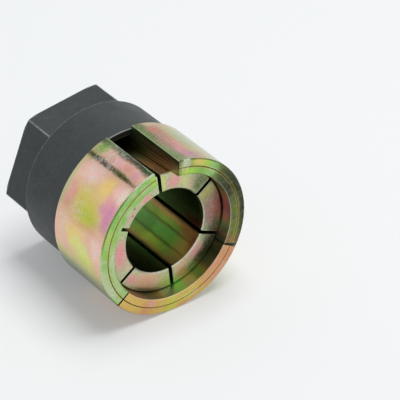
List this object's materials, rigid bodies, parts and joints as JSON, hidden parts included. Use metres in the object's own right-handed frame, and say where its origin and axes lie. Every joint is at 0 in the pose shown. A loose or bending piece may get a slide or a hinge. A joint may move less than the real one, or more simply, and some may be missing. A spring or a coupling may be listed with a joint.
{
  "type": "keyless locking assembly",
  "caption": "Keyless shaft-to-hub bushing: a hex nut draws a slit tapered collet into a split tapered ring, gripping shaft and hub at once.",
  "frame": {"origin": "on the axis, at the end of the hex that the assembly stands on", "axes": "+Z along the bore axis, from the hex end to the ring's front face; the wide slot in the ring faces about 125 degrees clockwise from +X, between -X and -Y"},
  "size_m": [0.065, 0.065, 0.0675],
  "materials": {
    "nut_black_oxide": "matte dark grey black-oxide steel",
    "collet_yellow_zinc": "satin zinc with yellow-iridescent passivation",
    "ring_yellow_zinc": "glossy zinc with yellow-iridescent passivation"
  },
  "bodies": {
    "outer_ring": {"outer_segment_1": "ring_yellow_zinc", "outer_segment_2": "ring_yellow_zinc", "outer_segment_3": "ring_yellow_zinc"},
    "nut": {"hex_nut": "nut_black_oxide"},
    "collet": {"inner_collet": "collet_yellow_zinc"}
  },
  "joints": [
    {"name": "nut_turn", "type": "hinge", "parent": "outer_ring", "child": "nut", "pos_m": [0, 0, 0], "axis": [0, 0, -1], "range_deg": [0, 990]},
    {"name": "collet_slide", "type": "slide", "parent": "outer_ring", "child": "collet", "axis": [0, 0, 1], "range_m": [0, 0.00413]}
  ],
  "couplings": [
    {"joint": "collet_slide", "follows": "nut_turn", "m_per_rad": 0.00023873}
  ]
}
